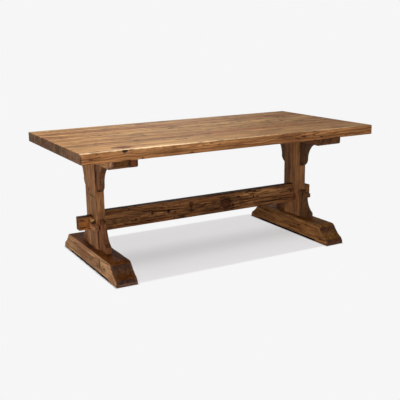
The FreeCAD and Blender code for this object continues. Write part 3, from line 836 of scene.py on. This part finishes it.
def topCuts(number, front, back):
    def cut(cutters, chance):
        if number == frontBoard["number"]:
            spot = (frontBoard["flakeAt"], front, cadHigh[2] - frontBoard["flakeDown"])
            addChip(cutters, spot, frontBoard["flakeHalf"], chance)
        for sign in (-1, 1):
            outward = Vector((sign, 0, 0))
            tip = cadHigh[0] * sign
            across = front + (back - front) * chance.uniform(*boardSplits["across"])
            top, bottom = chance.uniform(*boardSplits["top"]), chance.uniform(*boardSplits["bottom"])
            path = wanderingPath((tip, across, cadHigh[2] - top),
                                 (tip, across + boardSplits["lean"], cadHigh[2] - bottom),
                                 outward, boardSplits["sway"], chance, boardSplits["steps"])
            addCrack(cutters, path, outward, chance.uniform(*boardSplits["width"]), boardSplits["depth"])
    return cut


for number, changes in topBoards.items():
    nodeName = "top_board_%d" % number
    low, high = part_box(nodeName)
    marks = [mark for mark in topMarks if low[1] - mark[2][1] < mark[1][1] < high[1] + mark[2][1]]
    look = {**pine, **topFinish, **changes, "marks": marks}
    habits = {**wearHabits, "eased": frontBoard["eased"]} if number == frontBoard["number"] else wearHabits
    wornTimber(nodeName, number, look, habits, topCuts(number, low[1], high[1]))
print("top boards worn and dressed")

# The stretcher.
# The stretcher's dark upward tone is painted shade under the table top.
stretcherLook = {
    "tone": (0.7, 0.7, 0.74), "topTone": (0.26, 0.23, 0.2), "pith": (0.4, 0.03, -0.24), "wander": 0.12,
    "blotches": 0.8, "threads": 0.9, "flame": 0.03, "ringWidth": 0.012, "sideRings": 1.0, "knotShare": 0.45,
    "streaks": 2.2, "dashes": 0.95, "checks": 0.9, "sheen": 0.04, "roughness": 0.7,
    "edge": (0.46, 0.2, 0.065), "edgeWear": 0.1, "bare": (0.37, 0.132, 0.032),
}
stretcherMarks = [
    ("knot", (-0.366, -0.023, 0.268), (0.009, 0.03, 0.009), 1.0),
    ("knot", (-0.256, -0.023, 0.265), (0.012, 0.03, 0.012), 1.0),
    ("knot", (-0.211, -0.023, 0.253), (0.009, 0.03, 0.008), 1.0),
    ("knot", (-0.476, -0.023, 0.245), (0.01, 0.03, 0.008), 1.0),
    ("knot", (-0.096, -0.023, 0.29), (0.015, 0.03, 0.014), 1.0),
    ("stain", (-0.096, -0.023, 0.27), (0.014, 0.02, 0.045), 0.8),
    ("knot", (0.159, -0.023, 0.262), (0.034, 0.03, 0.03), 0.9),
    ("stain", (0.165, -0.023, 0.262), (0.06, 0.02, 0.06), 0.8),
    ("knot", (0.214, -0.023, 0.243), (0.012, 0.03, 0.01), 1.0),
    ("red", (-0.3, -0.023, 0.277), (0.1, 0.02, 0.008), 0.9),
    ("pale", (-0.3, -0.023, 0.28), (0.1, 0.02, 0.005), 0.8),
    ("pale", (0.004, -0.023, 0.283), (0.055, 0.02, 0.007), 0.9),
    ("stain", (0.07, -0.023, 0.235), (0.14, 0.02, 0.028), 0.7),
    ("pale", (0.42, -0.023, 0.295), (0.27, 0.03, 0.035), 1.0),
    ("pale", (0.47, -0.023, 0.285), (0.2, 0.02, 0.02), 0.9),
    ("bare", (-0.8, -0.023, 0.258), (0.06, 0.02, 0.045), 0.9),
    ("bare", (0.8, -0.023, 0.258), (0.06, 0.02, 0.045), 0.5),
]
# Cracks in the front face: start and end (place along, height), sway, steps, width, depth.
stretcherCracks = [
    ((-0.56, 0.291), (-0.13, 0.275), 0.005, 16, 0.005, 0.014),
    ((0.23, 0.25), (0.52, 0.256), 0.003, 10, 0.002, 0.006),
]
stretcherSeed, nailDepth = 60, 0.012
stretcherHabits = {**wearHabits, "arris": 0.0009, "chips": 0.002}
# Holes left by nails and worms on the front face: place along, height, radius.
stretcherHoles = [
    (0.329, 0.317, 0.0045), (0.374, 0.28, 0.006), (-0.216, 0.22, 0.0045), (-0.176, 0.303, 0.004),
    (-0.291, 0.31, 0.004), (-0.521, 0.313, 0.0045), (-0.256, 0.265, 0.0055), (0.214, 0.243, 0.006),
    (-0.366, 0.268, 0.004), (-0.476, 0.245, 0.004),
]


def stretcherCuts(cutters, chance):
    outward = Vector((0, -1, 0))
    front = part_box("stretcher")[0][1]
    for start, end, sway, steps, width, depth in stretcherCracks:
        path = wanderingPath((start[0], front, start[1]), (end[0], front, end[1]), outward, sway, chance,
                             steps)
        addCrack(cutters, path, outward, width, depth)
    for along, height, radius in stretcherHoles:
        addHole(cutters, Vector((along, front, height)), outward, radius, nailDepth, chance)


wornTimber("stretcher", stretcherSeed, {**pine, **stretcherLook, "marks": stretcherMarks}, stretcherHabits,
           stretcherCuts)
print("stretcher worn and dressed")

# The trestles.
# How each kind of timber departs from the plain pine, and then single timbers from their kind.
grime = (0.03, 0.013, 0.007)
trestleLooks = {
    "post": {"tone": (0.96, 1.0, 1.04), "streaks": 1.4, "dashes": 0.5},
    # The feet's tone is paled towards grey partly as a painted sheen on their faces, and their upward tone
    # darkens their tops, partly dirt and partly painted shade under the table top.
    "foot": {"tone": (1.21, 1.5, 2.0), "topTone": (0.28, 0.147, 0.045),
             "endTone": (0.145, 0.125, 0.2), "edge": (0.56, 0.31, 0.18), "edgeWear": 0.4,
             "sheen": 0.03},
    "bearer_outer": {"tone": (0.88, 0.9, 0.84), "endTone": (0.44, 0.36, 0.32), "edge": grime,
                     "edgeWear": 1.2, "bare": (0.62, 0.31, 0.19)},
    "bearer_inner": {"tone": (0.78, 0.62, 0.58), "endTone": (0.6, 0.52, 0.5), "edge": grime,
                     "edgeWear": 1.2},
    "upper_brace": {"tone": (0.66, 0.62, 0.64), "edge": grime, "edgeWear": 0.3},
    "lower_brace": {"tone": (0.62, 0.58, 0.58), "edge": grime, "edgeWear": 0.3},
    "wedge_lower": {"tone": (1.0, 1.02, 1.3), "endTone": (0.6, 0.56, 0.56), "streaks": 1.2},
    # The upper wedges are toned very dark on their sides as painted shade, and their tops are brightened many
    # times over as a painted highlight.
    "wedge_upper": {"tone": (0.22, 0.19, 0.17), "topTone": (8.0, 9.5, 9.5), "edgeWear": 0.05,
                    "bare": (0.62, 0.33, 0.12)},
}
timberChanges = {
    # The darker tones of the right trestle's braces, inner bearer and wedges below are painted shade.
    "upper_brace_right_front": {"tone": (0.34, 0.34, 0.38)},
    "upper_brace_right_back": {"tone": (0.4, 0.4, 0.44)},
    "lower_brace_right_front": {"tone": (0.36, 0.36, 0.36)},
    "bearer_outer_left": {"tone": (1.6, 1.8, 1.9), "endTone": (0.185, 0.14, 0.095)},
    "bearer_inner_right": {"tone": (0.6, 0.58, 0.52)},
    # The right foot's upward tone likewise darkens its top, partly dirt and partly painted shade.
    "foot_right": {"tone": (1.06, 1.06, 1.0), "topTone": (0.84, 0.85, 0.64),
                   "endTone": (0.22, 0.2, 0.33), "edge": (0.26, 0.14, 0.08)},
    "wedge_lower_right": {"tone": (0.4, 0.4, 0.42)},
    "wedge_upper_right": {"tone": (0.3, 0.28, 0.26)},
}
# One stain on the bearers' front tips serves both bearers of a trestle.
leftTipStain = ("stain", (-0.665, -0.413, 0.673), (0.007, 0.02, 0.05), 1.0)
rightTipStain = ("stain", (0.689, -0.413, 0.673), (0.006, 0.02, 0.05), 1.0)
trestleMarks = {
    "post_left": [
        ("red", (-0.748, -0.06, 0.2), (0.02, 0.02, 0.12), 0.6),
        ("stain", (-0.748, -0.01, 0.43), (0.02, 0.06, 0.014), 0.5),
        ("stain", (-0.722, -0.085, 0.32), (0.03, 0.02, 0.05), 0.6),
        # These two stains darken the post's front in the narrow step beside the braces: painted shade.
        ("stain", (-0.746, -0.086, 0.56), (0.012, 0.007, 0.14), 1.0),
        ("stain", (-0.746, -0.086, 0.2), (0.012, 0.007, 0.13), 1.0),
    ],
    "bearer_outer_left": [("bare", (-0.771, -0.404, 0.68), (0.016, 0.016, 0.05), 0.95), leftTipStain],
    "bearer_inner_left": [leftTipStain],
    "bearer_outer_right": [rightTipStain],
    "bearer_inner_right": [rightTipStain],
    "upper_brace_left_front": [("stain", (-0.741, -0.12, 0.466), (0.04, 0.06, 0.022), 0.85)],
    "upper_brace_right_front": [("stain", (0.703, -0.12, 0.466), (0.04, 0.06, 0.022), 0.7)],
    "wedge_upper_left": [("bare", (-0.775, -0.062, 0.292), (0.03, 0.03, 0.009), 1.0)],
    "post_right": [
        # The broad stain over the back half of the inner face is a painted shadow, and the pale patch over
        # its front half is painted light.
        ("stain", (0.696, 0.05, 0.4), (0.02, 0.062, 0.3), 0.55),
        ("stain", (0.696, 0.02, 0.44), (0.02, 0.012, 0.12), 0.7),
        ("pale", (0.696, -0.055, 0.4), (0.02, 0.03, 0.25), 0.5),
    ],
    "foot_left": [
        ("stain", (-0.787, -0.158, 0.052), (0.02, 0.02, 0.02), 0.7),
        ("stain", (-0.787, -0.046, 0.052), (0.02, 0.016, 0.014), 0.6),
        ("red", (-0.787, 0.08, 0.06), (0.02, 0.1, 0.05), 0.6),
        ("pale", (-0.787, -0.28, 0.06), (0.02, 0.11, 0.04), 0.5),
        ("stain", (-0.722, -0.415, 0.062), (0.11, 0.034, 0.055), 0.42),
    ],
    "foot_right": [
        ("stain", (0.657, -0.222, 0.088), (0.02, 0.008, 0.024), 0.8),
        ("stain", (0.657, -0.05, 0.044), (0.02, 0.02, 0.014), 0.6),
        ("red", (0.657, 0.15, 0.044), (0.02, 0.03, 0.02), 0.8),
        ("red", (0.657, -0.094, 0.05), (0.02, 0.02, 0.03), 0.8),
        ("stain", (0.722, -0.415, 0.062), (0.11, 0.03, 0.05), 0.42),
    ],
}
# The crack's heights are from the floor; from and to are measured in from the post's sides.
postCrack = {"from": 0.004, "to": 0.03, "heights": (0.424, 0.428), "sway": 0.001, "width": 0.0022,
             "depth": 0.004}
footHole = {"across": -0.086, "height": 0.07, "radius": 0.0045, "depth": 0.014}


def postCuts(cutters, chance):
    low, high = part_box("post_left")
    outward = Vector((-1, 0, 0))
    path = wanderingPath((low[0], low[1] + postCrack["from"], postCrack["heights"][0]),
                         (low[0], high[1] - postCrack["to"], postCrack["heights"][1]),
                         outward, postCrack["sway"], chance)
    addCrack(cutters, path, outward, postCrack["width"], postCrack["depth"])


def footCuts(cutters, chance):
    spot = Vector((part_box("foot_left")[0][0], footHole["across"], footHole["height"]))
    addHole(cutters, spot, Vector((-1, 0, 0)), footHole["radius"], footHole["depth"], chance)


trestleCuts = {"post_left": postCuts, "foot_left": footCuts}
bearerEased = 0.0036
sideSeeds = {"left": 20, "right": 40}
# Grain, distance of the timber from the middle of the table, shift of the pith from there, its place on
# the other axis, number added to the side's seed, shift along the grain, and that of the back one.
trestlePiths = {
    "post": ("z", 0.722, 0.05, 0.03, 0, 0, 0),
    "foot": ("y", 0.722, 0.03, 0.05, 1, 0, 0),
    "bearer_outer": ("y", 0.72, 0.0, -0.6, 2, 0, 0),
    "bearer_inner": ("y", 0.66, 0.0, -0.72, 3, 3, 0),
    "upper_brace": ("z", 0.722, 0.04, 0.1, 4, 0, 2),
    "lower_brace": ("z", 0.722, -0.04, 0.1, 6, 5, 1),
    "wedge_lower": ("y", 0.76, 0.05, -0.34, 8, 0, 0),
    "wedge_upper": ("y", 0.76, -0.05, -0.36, 9, 0, 0),
}


def addTrestleTimber(kind, side, turn=0, ending=""):
    nodeName = kind + "_" + side + ending
    grain, out, shift, other, number, along, nextAlong = trestlePiths[kind]
    along += sideSeeds[side] + turn * nextAlong
    outward = (-out if side == "left" else out) + shift
    # Grain along z puts -x on the third axis, grain along y puts it on the second one.
    pith = (along, other, outward) if grain == "z" else (along, outward, other)
    look = {**pine, "grain": grain, "pith": pith, "marks": trestleMarks.get(nodeName, []),
            **trestleLooks[kind], **timberChanges.get(nodeName, {})}
    habits = {**wearHabits, "eased": bearerEased} if kind.startswith("bearer") else wearHabits
    wornTimber(nodeName, sideSeeds[side] + number + turn, look, habits, trestleCuts.get(nodeName))


for side in sideSeeds:
    for kind in ("post", "foot", "bearer_outer", "bearer_inner"):
        addTrestleTimber(kind, side)
    for turn, ending in enumerate(("_front", "_back")):
        for kind in ("upper_brace", "lower_brace"):
            addTrestleTimber(kind, side, turn, ending)
    for kind in ("wedge_lower", "wedge_upper"):
        addTrestleTimber(kind, side)
print("trestles worn and dressed")


# What is hidden in the joints.
hiddenFinish = {"ragged": 0.6, "spread": 0.3, "sheen": 0.5, "bump": 0.3, "bumpDepth": 0.0002}
hiddenFinishes = {
    "zinc": {"pale": (0.52, 0.53, 0.54), "dull": (0.3, 0.3, 0.29), "metallic": 0.9, "roughness": 0.42,
             "scale": 160.0, "on": ("bearer_screws_left", "bearer_screws_right")},
    "beech": {"pale": (0.56, 0.36, 0.2), "dull": (0.42, 0.24, 0.12), "metallic": 0.0,
              "roughness": 0.6, "scale": 90.0,
              "on": ("brace_tongues_left", "brace_tongues_right", "top_tongues")},
}
for name, finish in hiddenFinishes.items():
    material = makeFlecked(name, {**hiddenFinish, **finish})
    for nodeName in finish["on"]:
        nodes[nodeName].data.materials.clear()
        nodes[nodeName].data.materials.append(material)
print("screws and tongues dressed")

# Camera.
cameraPlace = {
    "spot": (-2.0617, -3.7426, 1.3491), "turn": 28.62, "tilt": 13.80, "roll": -0.93,
    "lens": 61.85, "sensor": 36.0,
}
cameraData = bpy.data.cameras.new("viewCamera")
cameraData.lens = cameraPlace["lens"]
cameraData.sensor_width = cameraPlace["sensor"]
camera = bpy.data.objects.new("viewCamera", cameraData)
bpy.context.collection.objects.link(camera)
camera.matrix_world = (
    Matrix.Translation(cameraPlace["spot"])
    @ Matrix.Rotation(math.radians(-cameraPlace["turn"]), 4, "Z")
    @ Matrix.Rotation(math.radians(90 - cameraPlace["tilt"]), 4, "X")
    @ Matrix.Rotation(math.radians(cameraPlace["roll"]), 4, "Z")
)
bpy.context.scene.camera = camera

# Light, floor and background.
studio = {
    "paper": 0.922, "shadowHue": (0.922, 0.902, 0.912), "floorSize": 60.0, "dome": 0.15, "bounce": 0.35,
    "shadowHalf": (0.66, 0.45), "shadowMiddle": 0.03, "shadowFade": 0.02,
    "shadowDeep": 0.45, "shadowPale": 0.285, "deepestAt": -0.03, "deepestReach": 0.26,
    "contactReach": 0.008,
    # Right under the feet the paper is painted dark: painted shade in the recesses under the feet.
    "covered": (-0.004, -0.001), "coveredDark": -0.97,  # the paper right under the feet is dark
}
lamps = {
    "overhead": {"spot": (-1.3, -0.2, 2.8), "size": 2.0, "power": 65.0, "aim": (-0.2, 0.0, 0.7)},
    "leftPanel": {"spot": (-4.2, -1.2, 0.55), "size": 2.0, "power": 64.0, "aim": (0.0, 0.0, 0.4)},
    "frontPanel": {"spot": (-0.6, -4.6, 0.8), "size": 2.2, "power": 77.0, "aim": (0.0, 0.0, 0.5)},
    "backFill": {"spot": (1.8, 4.4, 1.1), "size": 2.2, "power": 30.0, "aim": (0.0, 0.0, 0.5)},
}
for name, place in lamps.items():
    lampData = bpy.data.lights.new(name, "AREA")
    lampData.shape = "DISK"
    lampData.size = place["size"]
    lampData.energy = place["power"]
    lamp = bpy.data.objects.new(name, lampData)
    bpy.context.collection.objects.link(lamp)
    lamp.location = place["spot"]
    lamp.rotation_euler = (Vector(place["aim"]) - Vector(place["spot"])).to_track_quat("-Z", "Y").to_euler()


# 1 for rays that show the paper or the sky themselves, 0 for those that only light the table.
def seenDirectly(tree):
    rays = addNode(tree, "ShaderNodeLightPath").outputs
    mirrored = maths(tree, "MAXIMUM", rays["Is Glossy Ray"], rays["Is Transmission Ray"])
    return maths(tree, "MAXIMUM", rays["Is Camera Ray"], mirrored)


# The studio's own brightness for rays that see it, and a dimmer one for its light on the table.
def brightness(tree, seen, dimmer):
    return timesAdd(tree, seen, studio["paper"] - dimmer, dimmer)


def away(tree, value, middle):
    return maths(tree, "ABSOLUTE", minus(tree, value, middle))


def makePaper():
    paper, tree, shader = newMaterial("paper")
    tree.nodes.remove(shader)
    matt = addNode(tree, "ShaderNodeBsdfDiffuse")
    glow = addNode(tree, "ShaderNodeEmission")
    along, across, _ = splitVector(tree, addNode(tree, "ShaderNodeTexCoord").outputs["Object"])
    outward = maths(tree, "ABSOLUTE", along)
    halfLong, halfDeep = studio["shadowHalf"]
    beyond = maths(tree, "MAXIMUM", minus(tree, outward, halfLong),
                   minus(tree, away(tree, across, studio["shadowMiddle"]), halfDeep))
    inside = inverted(tree, step(tree, beyond, 0.0, studio["shadowFade"]))
    feed(tree, glow.inputs["Color"], blendColours(tree, inside, (studio["paper"],) * 3, studio["shadowHue"]))
    fromDeepest = step(tree, away(tree, across, studio["deepestAt"]), 0.0, studio["deepestReach"])
    depth = timesAdd(tree, fromDeepest, studio["shadowPale"] - studio["shadowDeep"], studio["shadowDeep"])
    # The foot of each trestle touches the paper, so its own dark contact shows in full.
    footLow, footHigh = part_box("foot_right")
    fromFoot = maths(tree, "MAXIMUM",
                     minus(tree, away(tree, outward, (footLow[0] + footHigh[0]) / 2),
                           (footHigh[0] - footLow[0]) / 2),
                     minus(tree, maths(tree, "ABSOLUTE", across), footHigh[1]))
    contact = inverted(tree, step(tree, fromFoot, 0.0, studio["contactReach"]))
    shadow = maths(tree, "MAXIMUM", times(tree, inside, depth), contact)
    # The paper's own colour is darkened right under the feet, as painted shade.
    covered = inverted(tree, step(tree, fromFoot, *studio["covered"]))
    seen = seenDirectly(tree)
    feed(tree, matt.inputs["Color"], times(tree, brightness(tree, seen, studio["bounce"]),
                                           timesAdd(tree, covered, studio["coveredDark"], 1.0)))
    # Beyond the table the paper is evenly white; under it the shadow shows at a share of its depth.
    mixer = addNode(tree, "ShaderNodeMixShader")
    feed(tree, mixer.inputs[0], times(tree, inverted(tree, shadow), seen))
    feed(tree, mixer.inputs[1], matt.outputs[0])
    feed(tree, mixer.inputs[2], glow.outputs[0])
    # Seen from below, the paper isn't in the way.
    underside = addNode(tree, "ShaderNodeMixShader")
    feed(tree, underside.inputs[0], addNode(tree, "ShaderNodeNewGeometry").outputs["Backfacing"])
    feed(tree, underside.inputs[1], mixer.outputs[0])
    feed(tree, underside.inputs[2], addNode(tree, "ShaderNodeBsdfTransparent").outputs[0])
    feed(tree, tree.nodes["Material Output"].inputs["Surface"], underside.outputs[0])
    return paper


world = bpy.data.worlds.new("studio")
bpy.context.scene.world = world
world.use_nodes = True
sky = world.node_tree
backdrop = sky.nodes["Background"]
backdrop.inputs["Color"].default_value = white
feed(sky, backdrop.inputs["Strength"], brightness(sky, seenDirectly(sky), studio["dome"]))

bpy.ops.mesh.primitive_plane_add(size=studio["floorSize"], location=(0, 0, 0))
floor = bpy.context.object
floor.name = "floor"
floor.data.materials.append(makePaper())

bpy.context.scene.view_settings.view_transform = "Standard"
print("studio ready")
